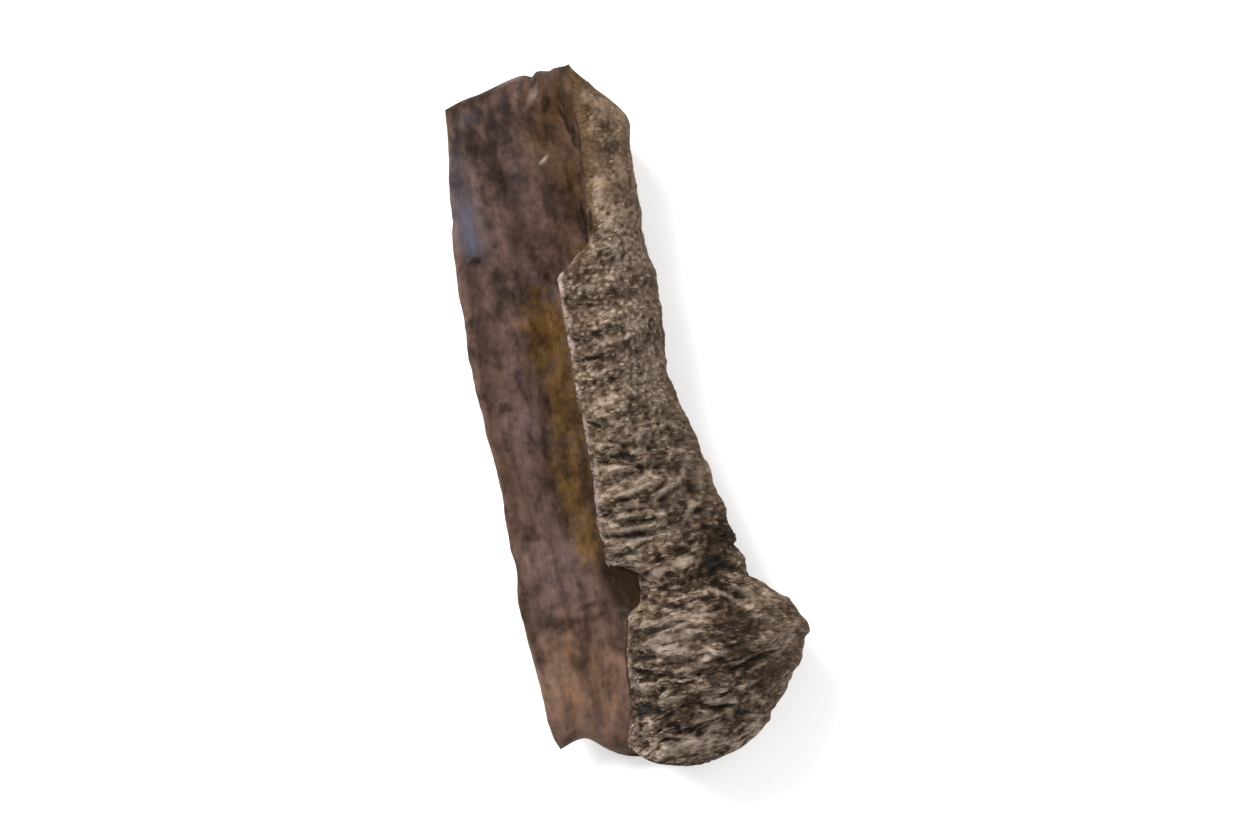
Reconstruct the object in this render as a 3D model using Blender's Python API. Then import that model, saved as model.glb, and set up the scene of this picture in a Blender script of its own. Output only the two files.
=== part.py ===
# A single shard of agarwood: a curled shell of dark resinous wood, lying on its sole.
# Its smooth scraped face is a shallow trough on the left. Along the right the shell folds
# back over that face as a rough lip, which ends below in a rounded heel.
#
# Frame: the shard's length runs along +Y from the heel to the top end, +X is towards the
# thick folded flank, +Z is up. The origin is under the middle of the shard, on the surface
# that it lies on. All the sizes below are in millimetres.

import bmesh
import bpy
import numpy as np
from mathutils import Vector, noise

MM = 0.001

# Walls and rounding
RIM_WALL = 1.3
LIP_WALL = 1.0
PLATE_END_ROUNDING = 0.9
HEEL_END_ROUNDING = 7.0
TOP_END_ROUNDING = 2.0
TOP_LEAN = 0.3  # how far the thick top end's edge lies towards the scraped face
TOP_LEAN_REACH = 4.0
LIP_LEAN_SHARE = 0.2  # the lean fades out over this share of the width beside the lip
RIM_ROUNDING_SHARE = 0.05
LIP_ROUNDING_SHARE = 0.07
THICK_PART_STARTS = 0.36
THICK_PART_FULL = 0.62

# How finely each of the shell's two faces is divided
STEPS_ACROSS = 20
STEPS_ALONG = 76
STEPS_IN_ROUNDING = 4

# Relief: transverse ridges and lumps on the rough skin, flutes along the scraped face
RIDGE_SPACING = 2.1
RIDGE_HEIGHT = 0.3
RIDGE_SLANT = 0.08
RIDGES_END = 8.0
RIDGES_FADE = 10.0
FLANK_HEIGHT = 3.5
CREST_HEIGHT = 7.0
LUMP_SIZE = 4.5
LUMP_HEIGHT = 0.35
FLUTE_WIDTH = 2.4
FLUTE_LENGTH = 14.0
FLUTE_DEPTH = 0.3
GROWTH_SIZE = 8.0
GROWTH_BEND = 0.4
CHIP_SIZE = 2.6
CHIP_BEND = 0.22

WOOD_COLOUR = (0.105, 0.072, 0.052, 1.0)
WOOD_ROUGHNESS = 0.62

# Each rail is a line along the shard, as stations of (place along, place across, height).
# The rough skin's rails run from the left rim, under the belly, round the flank to the lip.
LEFT_RIM = [
    (-22.8, -8.5, 3.4), (-20.3, -9.1, 3.5), (-16, -9.4, 3.7), (-12, -9.65, 3.9), (-3, -9.4, 4.4),
    (3, -9.65, 4.7), (9, -9.75, 4.9), (14, -9.2, 4.7), (19, -8.55, 4.4), (23.6, -8.0, 4.2),
]
BELLY = [(-22.5, -6.2, 1.2), (-12, -6.4, 1.0), (0, -6.6, 1.1), (10, -6.4, 1.0), (24.3, -5.0, 1.8)]
SOLE_LEFT = [
    (-24.7, -3.3, 0.7), (-18, -1.8, -0.4), (-10, -2.0, -0.3), (0, -2.5, -0.3), (8, -2.5, -0.4),
    (16, -1.8, -0.4), (25.2, -1.6, 1.1),
]
SOLE_RIGHT = [
    (-25.6, 3.4, 0.9), (-18, 5.6, -0.4), (-12, 3.2, -0.3), (-4, 2.0, -0.2), (4, 1.3, -0.2),
    (10, 1.5, -0.3), (16, 1.8, -0.4), (23.0, 2.0, 1.0),
]
FLANK = [
    (-26.0, 6.4, 4.0), (-22, 7.9, 4.2), (-19.5, 9.2, 4.4), (-17.4, 10.2, 4.6), (-15.4, 9.4, 4.5),
    (-13, 6.8, 4.4), (-9, 6.3, 4.2), (-5.7, 6.0, 4.1), (-3, 5.4, 4.0), (3, 4.3, 3.8), (7, 4.4, 3.8),
    (11, 4.1, 3.9),
    (17, 4.5, 4.1), (20, 4.6, 4.2), (21.8, 4.3, 4.3),
]
SHOULDER = [
    (-26.2, 3.0, 6.8), (-18, 5.6, 8.6), (-13, 3.6, 7.5), (-6, 3.2, 6.9), (2, 2.5, 6.9),
    (10, 2.6, 6.8), (16, 3.4, 6.5), (23.3, 3.3, 6.0),
]
CREST = [
    (-25.2, -0.8, 7.2), (-18, 0.2, 9.3), (-13, 0.4, 8.2), (-6, -0.1, 8.1), (2, -0.2, 8.2),
    (10, 0.0, 8.1), (16, 1.9, 7.4), (24.8, 2.1, 6.4),
]
LIP = [
    (-23.3, -3.9, 3.8), (-18, -3.0, 5.0), (-14.4, -2.1, 5.6), (-13.9, -1.2, 5.4), (-13.2, -0.7, 5.2),
    (-12.2, -0.6, 5.1), (-11.2, -0.6, 5.3), (-10.5, -2.6, 6.0), (-6, -2.8, 6.3), (2, -2.6, 6.6),
    (10.2, -2.4, 6.5), (11.4, -1.0, 6.1), (12.4, 0.2, 5.9), (15, 0.5, 5.8), (25.3, 1.1, 5.2),
]

# The scraped face's rails run from the same left rim, over the floor, to under the lip.
FLOOR = [(-22.5, -6.6, 2.8), (-12, -6.9, 3.0), (0, -6.8, 3.2), (10, -6.6, 3.3), (24.4, -5.0, 3.5)]
VALLEY = [
    (-23.4, -4.9, 2.3), (-14, -3.8, 2.3), (-8, -3.5, 2.1), (0, -3.4, 2.0), (8, -3.2, 2.1),
    (15, -2.2, 2.5), (25.3, -1.8, 3.2),
]
UNDERCUT = [
    (-24.6, -3.5, 2.6), (-18, -2.4, 3.2), (-14, -1.0, 3.4), (-11.8, 0.5, 3.3), (-8, 0.3, 3.5),
    (0, 0.4, 3.6), (8, 0.6, 3.6), (13, 1.2, 3.5), (18, 0.8, 3.9), (25.5, -0.6, 4.0),
]
ROOF = [
    (-24.4, -3.8, 3.1), (-18, -2.7, 4.1), (-14, -1.4, 4.8), (-11.8, 0.1, 4.6), (-8, -1.2, 5.5),
    (0, -1.0, 5.9), (8, -0.7, 5.8), (13, 0.8, 4.9), (18, 0.9, 5.0), (25.5, 0.3, 4.6),
]


def smooth_through(places, values, at):
    """Read a curve through these values at any places; it never swings past a value."""
    steps = np.diff(places)
    slopes = np.diff(values) / steps
    before, after = slopes[:-1], slopes[1:]
    same_way = before * after > 0
    mean = 2 * before * after / np.where(same_way, before + after, 1)
    tangents = np.concatenate([slopes[:1], np.where(same_way, mean, 0), slopes[-1:]])
    k = np.clip(np.searchsorted(places, at) - 1, 0, len(steps) - 1)
    t = (at - places[k]) / steps[k]
    rest = 1 - t
    return (
        rest**2 * (1 + 2 * t) * values[k]
        + t**2 * (1 + 2 * rest) * values[k + 1]
        + steps[k] * t * rest * (rest * tangents[k] - t * tangents[k + 1])
    )


def points_on_rail(rail, shares):
    """Points (x, y, z) at these shares of a rail's length."""
    along, across, height = np.array(rail, float).T
    y = along[0] + (along[-1] - along[0]) * shares
    return np.stack([smooth_through(along, across, y), y, smooth_through(along, height, y)], axis=-1)


def moved_up(rail, rise):
    return [(along, across, height + rise) for along, across, height in rail]


def sheet_through(rails, across, along):
    """A smooth sheet through the rails, as an array of points [along, across]."""
    lines = [points_on_rail(rail, along) for rail in rails]
    lines = [2 * lines[0] - lines[1], *lines, 2 * lines[-1] - lines[-2]]
    lines = np.stack(lines, axis=1)
    place = across * (len(rails) - 1)
    k = np.minimum(place.astype(int), len(rails) - 2)
    t = (place - k)[None, :, None]
    a, b, c, d = (lines[:, k + offset] for offset in range(4))
    return b + 0.5 * t * ((c - a) + t * ((2 * a - 5 * b + 4 * c - d) + t * (3 * b - a - 3 * c + d)))


def outward_normals(sheet):
    normals = np.cross(np.gradient(sheet, axis=0), np.gradient(sheet, axis=1))
    return normals / np.linalg.norm(normals, axis=-1, keepdims=True)


def noise_at(points, size):
    """Smooth noise between -1 and 1 whose features have this size."""
    flat = (points / size).reshape(-1, 3)
    return np.array([noise.noise(Vector(point)) for point in flat]).reshape(points.shape[:-1])


def bent_by_noise(points, size, amount):
    """Points moved each way by smooth noise, so that straight lines wander."""
    offsets = (0.0, 130.0, 270.0)
    return points + amount * np.stack([noise_at(points + offset, size) for offset in offsets], axis=-1)


def rise_between(low, high, value):
    """0 below low, 1 above high, and a straight rise between them."""
    return np.clip((value - low) / (high - low), 0, 1)


def skin_relief(points):
    """Height of the rough skin: broken ridges across the shard's lower part, over low lumps."""
    x, y, z = np.moveaxis(points, -1, 0)
    wander = noise_at(points, LUMP_SIZE)
    phase = 2 * np.pi * (y - RIDGE_SLANT * x + wander) / RIDGE_SPACING
    ridged = 1 - 0.7 * rise_between(RIDGES_END, RIDGES_END + RIDGES_FADE, y)
    ridged *= 0.3 + 0.7 * rise_between(FLANK_HEIGHT, CREST_HEIGHT, z)
    ridged *= 0.5 + 0.5 * noise_at(points + 40.0, LUMP_SIZE)
    return RIDGE_HEIGHT * np.sin(phase) * ridged + LUMP_HEIGHT * noise_at(points + 90.0, LUMP_SIZE)


def face_relief(points):
    """Height of the scraped face: shallow flutes along the shard."""
    return FLUTE_DEPTH * noise_at(points * (1, FLUTE_WIDTH / FLUTE_LENGTH, 1), FLUTE_WIDTH)


def circle_spaced(length, count):
    """Places over this length that step evenly round a quarter circle."""
    return length * (1 - np.cos(np.linspace(0, np.pi / 2, count + 1)))


def graded(length, start, end, steps):
    """Places from 0 to a length, closer together over its rounded start and end."""
    middle = np.linspace(start, length - end, steps + 1)
    ends = STEPS_IN_ROUNDING
    return np.concatenate(
        [circle_spaced(start, ends)[:-1], middle, length - circle_spaced(end, ends)[-2::-1]]
    )


def thickness_left(distance, radius):
    """Share of the wall that is left at a distance from a rounded edge."""
    return np.sqrt(1 - (1 - rise_between(0, radius, distance)) ** 2)


def shell_faces():
    """The skin and the scraped face, which meet along the shard's whole edge."""
    across = graded(1.0, RIM_ROUNDING_SHARE, LIP_ROUNDING_SHARE, STEPS_ACROSS)
    length = LIP[-1][0] - LIP[0][0]
    distance = graded(length, PLATE_END_ROUNDING, PLATE_END_ROUNDING, STEPS_ALONG)
    along = distance / length
    skin_rails = [
        moved_up(LEFT_RIM, -RIM_WALL), BELLY, SOLE_LEFT, SOLE_RIGHT, FLANK, SHOULDER, CREST,
        moved_up(LIP, LIP_WALL),
    ]
    skin = sheet_through(skin_rails, across, along)
    face = sheet_through([LEFT_RIM, FLOOR, VALLEY, UNDERCUT, ROOF, LIP], across, along)
    thick = rise_between(THICK_PART_STARTS, THICK_PART_FULL, across)
    lean = TOP_LEAN * thick * rise_between(0, LIP_LEAN_SHARE, 1 - across)
    lean = lean * rise_between(length - TOP_LEAN_REACH, length, distance)[:, None]
    middle = face + (skin - face) * (0.5 - lean)[..., None]
    heel_radius = PLATE_END_ROUNDING + thick * (HEEL_END_ROUNDING - PLATE_END_ROUNDING)
    top_radius = PLATE_END_ROUNDING + thick * (TOP_END_ROUNDING - PLATE_END_ROUNDING)
    left = (
        thickness_left(across, RIM_ROUNDING_SHARE)
        * thickness_left(1 - across, LIP_ROUNDING_SHARE)
        * thickness_left(distance[:, None], heel_radius)
        * thickness_left(length - distance[:, None], top_radius)
    )[..., None]
    skin += outward_normals(skin) * skin_relief(skin)[..., None]
    face -= outward_normals(face) * face_relief(face)[..., None]
    return [finished(middle + (side - middle) * left) for side in (skin, face)]


def finished(points):
    """Bend a face as the wood grew and chipped, and set it down on its flat sole."""
    points = bent_by_noise(points, GROWTH_SIZE, GROWTH_BEND)
    points = bent_by_noise(points, CHIP_SIZE, CHIP_BEND)
    points[..., 2] = np.maximum(points[..., 2], 0)
    return points


def add_sheet(shell, points, facing_down):
    """Add a grid shaped to these points to the shell."""
    rows, columns = points.shape[:2]
    grid = bmesh.ops.create_grid(shell, x_segments=columns - 1, y_segments=rows - 1, size=1)
    verts = sorted(grid["verts"], key=lambda vert: (round(vert.co.y, 6), round(vert.co.x, 6)))
    for vert, point in zip(verts, points.reshape(-1, 3)):
        vert.co = point * MM
    if facing_down:
        faces = {face for vert in verts for face in vert.link_faces}
        bmesh.ops.reverse_faces(shell, faces=list(faces))


def wood():
    material = bpy.data.materials.new("agarwood")
    material.use_nodes = True
    shader = material.node_tree.nodes["Principled BSDF"]
    shader.inputs["Base Color"].default_value = WOOD_COLOUR
    shader.inputs["Roughness"].default_value = WOOD_ROUGHNESS
    shader.inputs["Metallic"].default_value = 0.0
    material.diffuse_color = WOOD_COLOUR
    return material


def make_shard(collection):
    skin, face = shell_faces()
    lowest = np.minimum(skin.min(axis=(0, 1)), face.min(axis=(0, 1)))
    highest = np.maximum(skin.max(axis=(0, 1)), face.max(axis=(0, 1)))
    centre = (lowest + highest) / 2 * (1, 1, 0)
    shell = bmesh.new()
    add_sheet(shell, skin - centre, facing_down=True)
    add_sheet(shell, face - centre, facing_down=False)
    bmesh.ops.remove_doubles(shell, verts=shell.verts, dist=0.00001 * MM)
    mesh = bpy.data.meshes.new("agarwood_shard")
    shell.to_mesh(mesh)
    shell.free()
    mesh.materials.append(wood())
    mesh.shade_smooth()
    shard = bpy.data.objects.new("agarwood_shard", mesh)
    collection.objects.link(shard)
    return shard


def main():
    for old in list(bpy.data.objects):
        bpy.data.objects.remove(old)
    collection = bpy.data.collections.new("agarwood_piece")
    bpy.context.scene.collection.children.link(collection)
    make_shard(collection)


main()
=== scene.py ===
# Agarwood shard: a curled piece of dark resinous wood with a scraped trough,
# a rough folded lip and a rounded heel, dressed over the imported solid.
import itertools
import math

import bpy
import numpy as np
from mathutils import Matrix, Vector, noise


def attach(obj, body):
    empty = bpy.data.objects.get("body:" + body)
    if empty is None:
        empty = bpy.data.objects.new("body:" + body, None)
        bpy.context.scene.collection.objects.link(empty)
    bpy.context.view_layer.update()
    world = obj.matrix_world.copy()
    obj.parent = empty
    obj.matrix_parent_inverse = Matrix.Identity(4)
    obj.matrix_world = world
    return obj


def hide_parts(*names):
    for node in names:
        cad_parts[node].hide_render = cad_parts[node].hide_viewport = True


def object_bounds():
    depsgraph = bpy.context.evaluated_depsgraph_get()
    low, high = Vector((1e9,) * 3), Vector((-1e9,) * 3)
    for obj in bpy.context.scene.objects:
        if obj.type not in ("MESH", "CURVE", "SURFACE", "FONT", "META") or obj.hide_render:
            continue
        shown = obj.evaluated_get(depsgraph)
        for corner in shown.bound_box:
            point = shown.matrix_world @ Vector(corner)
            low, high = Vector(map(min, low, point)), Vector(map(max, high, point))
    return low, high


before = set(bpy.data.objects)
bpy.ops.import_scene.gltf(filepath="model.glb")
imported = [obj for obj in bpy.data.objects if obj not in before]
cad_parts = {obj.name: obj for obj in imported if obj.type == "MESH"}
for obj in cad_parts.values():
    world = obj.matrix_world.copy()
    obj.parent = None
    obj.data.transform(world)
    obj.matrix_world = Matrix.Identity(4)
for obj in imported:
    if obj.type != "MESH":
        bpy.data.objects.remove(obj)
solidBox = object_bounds()
mm = 0.001

# The shard's form before it is centred on the solid, in millimetres; shares are of the way across
shellForm = {
    "rimWall": 1.3,
    "lipWall": 1.0,
    "plateEndRounding": 0.9,  # how far each kind of end is rounded off
    "heelEndRounding": 7.0,
    "topEndRounding": 2.0,
    "topLean": 0.3,          # how far the top end's edge lies towards the scraped face
    "topLeanReach": 4.0,
    "lipLeanShare": 0.2,
    "rimRoundingShare": 0.05,
    "lipRoundingShare": 0.07,
    "thickPartStarts": 0.36,
    "thickPartFull": 0.62,
    "growthSize": 8.0,       # growth and chips are noises that bend the form
    "growthBend": 0.4,
    "chipSize": 2.6,
    "chipBend": 0.22,
    "edgeChipSize": 0.8,
    "edgeChipBend": 0.10,
    "edgeChipReach": 0.05,   # a share
    "crackPlace": -1.5,      # a small crack in the top end's edge
    "crackWidth": 0.3,
    "crackDepth": 0.35,
    "crackRuns": (22.2, 24.6),
    "stepsAcross": 136,
    "coarseShare": 0.33,     # the lip and heel get the finer two thirds of the steps across
    "stepsAlong": 316,
    "stepsInRounding": 6,
}

# Each rail is a line along the shard: stations of (place along, place across, height)
leftRim = [
    (-22.8, -8.5, 3.4), (-20.3, -9.1, 3.5), (-16, -9.4, 3.7), (-12, -9.65, 3.9), (-3, -9.4, 4.4),
    (3, -9.65, 4.7), (9, -9.75, 4.9), (14, -9.2, 4.7), (19, -8.55, 4.4), (23.6, -8.0, 4.2),
]
belly = [(-22.5, -6.2, 1.2), (-12, -6.4, 1.0), (0, -6.6, 1.1), (10, -6.4, 1.0), (24.3, -5.0, 1.8)]
soleLeft = [
    (-24.7, -3.3, 0.7), (-18, -1.8, -0.4), (-10, -2.0, -0.3), (0, -2.5, -0.3), (8, -2.5, -0.4),
    (16, -1.8, -0.4), (25.2, -1.6, 1.1),
]
soleRight = [
    (-25.6, 3.4, 0.9), (-18, 5.6, -0.4), (-12, 3.2, -0.3), (-4, 2.0, -0.2), (4, 1.3, -0.2),
    (10, 1.5, -0.3), (16, 1.8, -0.4), (23.0, 2.0, 1.0),
]
flank = [
    (-26.0, 6.4, 4.0), (-22, 7.9, 4.2), (-19.5, 9.2, 4.4), (-17.4, 10.2, 4.6), (-15.4, 9.4, 4.5),
    (-13, 6.6, 4.4), (-9, 6.3, 4.2), (-5.7, 6.0, 4.1), (-3, 5.4, 4.0), (3, 4.3, 3.8), (7, 4.4, 3.8),
    (11, 4.1, 3.9), (17, 4.5, 4.1), (20, 4.6, 4.2), (21.8, 4.3, 4.3),
]
shoulder = [
    (-26.2, 3.0, 6.8), (-18, 5.6, 8.6), (-13, 3.6, 7.5), (-6, 3.2, 6.9), (2, 2.5, 6.9),
    (10, 2.6, 6.8), (16, 3.4, 6.5), (23.3, 3.3, 6.0),
]
crest = [
    (-25.2, -0.8, 7.2), (-18, 0.2, 9.3), (-13, 0.4, 8.2), (-6, -0.1, 8.1), (2, -0.2, 8.2),
    (10, 0.0, 8.1), (16, 1.9, 7.4), (24.8, 2.1, 6.4),
]
lip = [
    (-23.3, -3.9, 3.8), (-18, -2.7, 5.0), (-14.4, -1.8, 5.6), (-13.9, -1.1, 5.4), (-13.2, -0.7, 5.2),
    (-12.2, -0.6, 5.1), (-11.2, -0.6, 5.3), (-10.5, -2.6, 6.0), (-6, -2.8, 6.3), (2, -2.6, 6.6),
    (10.2, -2.4, 6.5), (11.4, -1.0, 6.1), (12.4, 0.2, 5.9), (15, 0.5, 5.8), (25.4, 1.4, 5.2),
]
floor = [(-22.5, -6.6, 2.8), (-12, -6.9, 3.0), (0, -6.8, 3.2), (10, -6.6, 3.3), (24.4, -5.0, 3.5)]
valley = [
    (-23.4, -4.9, 2.3), (-14, -3.8, 2.3), (-8, -3.5, 2.1), (0, -3.4, 2.0), (8, -3.2, 2.1),
    (15, -2.2, 2.5), (25.8, -1.7, 3.2),
]
undercut = [
    (-24.6, -3.5, 2.6), (-18, -2.4, 3.2), (-14, -1.0, 3.4), (-11.8, 0.5, 3.3), (-8, 0.3, 3.5),
    (0, 0.4, 3.6), (8, 0.6, 3.6), (13, 1.2, 3.5), (18, 0.8, 3.9), (26.0, -0.5, 4.0),
]
roof = [
    (-24.4, -3.8, 3.1), (-18, -2.7, 4.1), (-14, -1.4, 4.8), (-11.8, 0.1, 4.6), (-8, -1.2, 5.5),
    (0, -1.0, 5.9), (8, -0.7, 5.8), (13, 0.8, 4.9), (18, 0.9, 5.0), (25.6, 0.5, 4.6),
]

# Low relief that the solid has too, in millimetres
broadRelief = {
    "ridgeSpacing": 2.1,
    "ridgeHeight": 0.3,
    "ridgeSlant": 0.08,
    "ridgesEnd": 8.0,
    "ridgesFade": 10.0,
    "flankHeight": 3.5,
    "crestHeight": 7.0,
    "lumpSize": 4.5,
    "lumpHeight": 0.35,
    "fluteWidth": 2.4,
    "fluteLength": 14.0,
    "fluteDepth": 0.3,
}


def riseBetween(low, high, value):
    return np.clip((value - low) / (high - low), 0, 1)


def smoothRise(low, high, value):
    t = riseBetween(low, high, value)
    return t * t * (3 - 2 * t)


def riseAround(middle, width, value):
    return smoothRise(middle - width / 2, middle + width / 2, value)


def noiseAt(points, size):
    # smooth noise from -1 to 1; size is one number or one for each axis, and a number that
    # is added to the points only picks another stretch of the noise
    flat = (points / np.array(size)).reshape(-1, 3).tolist()
    return np.array([noise.noise(point) for point in flat]).reshape(points.shape[:-1])


def bentByNoise(points, size, amount):
    return points + amount * np.stack([noiseAt(points + o, size) for o in (0.0, 130.0, 270.0)], axis=-1)


def smoothThrough(places, values, at):
    # a curve through the values that never swings past one
    steps = np.diff(places)
    slopes = np.diff(values) / steps
    before, after = slopes[:-1], slopes[1:]
    sameWay = before * after > 0
    mean = 2 * before * after / np.where(sameWay, before + after, 1)
    tangents = np.concatenate([slopes[:1], np.where(sameWay, mean, 0), slopes[-1:]])
    k = np.clip(np.searchsorted(places, at) - 1, 0, len(steps) - 1)
    t = (at - places[k]) / steps[k]
    rest = 1 - t
    return (
        rest**2 * (1 + 2 * t) * values[k]
        + t**2 * (1 + 2 * rest) * values[k + 1]
        + steps[k] * t * rest * (rest * tangents[k] - t * tangents[k + 1])
    )


def pointsOnRail(rail, shares):
    along, across, height = np.array(rail, float).T
    y = along[0] + (along[-1] - along[0]) * shares
    return np.stack([smoothThrough(along, across, y), y, smoothThrough(along, height, y)], axis=-1)


def movedUp(rail, rise):
    return [(along, across, height + rise) for along, across, height in rail]


def sheetThrough(rails, across, along):
    lines = [pointsOnRail(rail, along) for rail in rails]
    lines = np.stack([2 * lines[0] - lines[1], *lines, 2 * lines[-1] - lines[-2]], axis=1)
    place = across * (len(rails) - 1)
    k = np.minimum(place.astype(int), len(rails) - 2)
    t = (place - k)[None, :, None]
    a, b, c, d = (lines[:, k + offset] for offset in range(4))
    return b + 0.5 * t * ((c - a) + t * ((2 * a - 5 * b + 4 * c - d) + t * (3 * b - a - 3 * c + d)))


def normalsOf(sheet):
    normals = np.cross(np.gradient(sheet, axis=0), np.gradient(sheet, axis=1))
    return normals / np.linalg.norm(normals, axis=-1, keepdims=True)


def circleSpaced(length, count):
    return length * (1 - np.cos(np.linspace(0, np.pi / 2, count + 1)))


def graded(length, start, end, steps, coarse=0.5):
    # places from 0 to length, closer together over the rounded start and end; the first
    # half of what lies between has the coarse share of the steps
    middle = np.interp(np.linspace(0, 1, steps + 1), [0, coarse, 1], [start, length / 2, length - end])
    ends = shellForm["stepsInRounding"]
    return np.concatenate(
        [circleSpaced(start, ends)[:-1], middle, length - circleSpaced(end, ends)[-2::-1]]
    )


def thicknessLeft(distance, radius):
    return np.sqrt(1 - (1 - riseBetween(0, radius, distance)) ** 2)


# The fine relief of the rough skin, in millimetres
skinDetail = {
    "tanStarts": 14.0,                 # above this the lip is smooth and tan
    "tanBlend": 7.0,
    "pebblesStart": -1.0,              # between this and the tan part it is pitted like a net
    "footStarts": -13.2,               # below this the heel has long stripes
    "pebblesBlend": 2.0,
    "footBlend": 1.0,
    "wanderSize": 3.0,                 # how far apart the borders between these kinds bend
    "pitSize": (0.66, 0.54, 0.66),
    "pitDepth": 0.14,
    "granuleSize": (0.66, 0.54, 0.66),
    "granuleHeight": 0.08,
    "dashSize": (1.3, 0.52, 1.3),
    "dashDepth": 0.22,
    "stripeSize": (1.5, 0.56, 1.5),
    "stripeHeight": 0.24,
    "grainSize": (0.46, 0.34, 0.46),
    "grainHeight": 0.11,
    "patchSize": (2.6, 1.7, 2.6),
    "arcCentre": 2.5,
    "arcRadius": 22.0,
    "waveSize": 1.3,
    "waveHeight": 0.36,
    "quietSide": (2.0, 5.5),           # the lip's relief fades towards the flank between these
    "heelSide": (5.5, 8.5),            # and the heel's between these
    "stainStarts": 11.2,               # above this rust spreads from the face over the lip's edge
    "stainWidth": 1.3,
    "ridgeHeight": 0.16,
    "furrowDepth": 0.22,
    "topStarts": 2.6,                  # marks show only above this height
    "topBlend": 1.2,
    "fibresStart": (4.4, 5.2),         # loose fibres set in between these heights
}

# The fine relief of the scraped face, in millimetres
faceDetail = {
    "gougeSize": (0.8, 4.0, 1.2),
    "gougeHeight": 0.10,
    "grainSize": (0.30, 1.7, 0.4),
    "grainHeight": 0.03,
    "lumpSize": (1.3, 1.8, 1.3),
    "lumpHeight": 0.07,
    "ledgeDrop": 0.14,
    "furrowDepth": 0.16,
}

# Marks laid one by one, in millimetres: (across, along, half length, half width, turn in degrees, strength)
skinMarks = {}
skinMarks["ridges"] = [
    (-0.98, -2.57, 0.62, 0.19, -20, 0.9), (-0.93, -3.94, 1.06, 0.27, -14, 1), (-0.01, -5.6, 1.85, 0.18, 5, 1),
    (2.68, -5.8, 1.45, 0.21, 27, 1), (4.17, -4.64, 0.82, 0.33, 66, 0.8), (0, -6.61, 1.59, 0.16, -2, 0.8),
    (-0.59, -7.16, 0.96, 0.13, 3, 0.8), (-0.4, -8.31, 2.07, 0.18, -5, 1), (3.9, -7.67, 1.03, 0.28, 50, 0.8),
    (4.02, -1.54, 1.03, 0.16, -43, 0.6), (-0.16, 5.2, 0.62, 0.22, 16, 0.7),
    (-0.81, 3.05, 0.6, 0.16, -31, 0.8), (-1.17, 4.03, 0.65, 0.09, 10, 0.7), (-1.2, 4.64, 0.64, 0.07, 8, 0.5),
    (2.12, 10.63, 0.51, 0.19, -87, 0.6), (-0.18, 9.02, 0.9, 0.25, -25, 0.7),
    (-0.98, -2.05, 0.86, 0.12, -14, 0.6), (1.56, -1.75, 0.93, 0.12, -6, 0.4),
    (1.94, 2.87, 1.7, 0.15, 80, 0.4), (2.11, -3.93, 0.67, 0.13, -4, 0.5), (0.81, -4.92, 0.65, 0.13, 29, 0.4),
    (-1.26, 5.74, 0.54, 0.15, -16, 0.6), (-0.98, 8.28, 0.76, 0.16, -17, 0.4),
    (0.8, 7.11, 0.58, 0.18, -20, 0.4), (0.59, 10.32, 0.68, 0.15, -18, 0.4), (-0.3, -8.25, 1.8, 0.2, -1, 1),
    (-0.65, -9.25, 2, 0.22, 2, 1), (-1.6, -14.79, 0.74, 0.25, -70, 0.9), (0.03, -15.15, 1.61, 0.25, 6, 1),
    (2.82, -15.07, 1.64, 0.23, -2, 1), (1.08, -15.72, 1.89, 0.19, 12, 0.9),
    (-0.21, -16.38, 1.53, 0.33, 11, 0.8), (2.03, -16.13, 1.26, 0.25, 1, 0.7),
    (0.48, -17.22, 1.56, 0.41, -13, 1), (2.88, -17.54, 1.4, 0.17, -3, 0.7),
    (-2.55, -18.01, 1.13, 0.17, 73, 0.9), (-2.14, -19.39, 1.06, 0.39, -17, 1),
    (-0.33, -20.68, 1.37, 0.21, 2, 0.9), (2.55, -22.45, 1.34, 0.33, 11, 1),
    (3.96, -22.57, 0.71, 0.17, -48, 0.7), (3.49, -21.31, 1.5, 0.19, -5, 0.7),
    (1.34, -18.57, 1.66, 0.15, 0, 0.6), (5.36, -18.61, 1.92, 0.14, 1, 0.6),
    (8.88, -18.35, 1.04, 0.15, 41, 0.9), (2.71, -11.51, 1.06, 0.33, 25, 1),
    (1.13, -11.81, 1.31, 0.27, -2, 0.7), (4.98, -14.1, 1.41, 0.12, -31, 0.7),
    (6.26, -13.99, 1.33, 0.12, -41, 0.7), (7.66, -15.04, 1.71, 0.12, -20, 0.6),
    (-0.06, -23.42, 1.38, 0.15, -15, 0.6), (3.22, -23.37, 0.81, 0.21, 12, 0.8),
    (1.87, -19.96, 0.85, 0.15, -20, 0.7), (2.16, -18.5, 0.56, 0.14, -13, 0.7),
    (-0.2, -12.43, 0.56, 0.17, -16, 0.7), (2.56, -13.67, 1.34, 0.12, -17, 0.5),
    (-2.73, -22.41, 0.95, 0.15, -40, 0.6), (6.27, -19.46, 0.89, 0.12, 16, 0.6),
    (5.81, -20.44, 0.97, 0.12, 13, 0.5), (5.83, -21.7, 0.98, 0.12, 26, 0.5),
    (4.31, -16.66, 1.18, 0.1, 3, 0.4), (7.7, -16.24, 1.25, 0.12, -15, 0.5),
]
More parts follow.
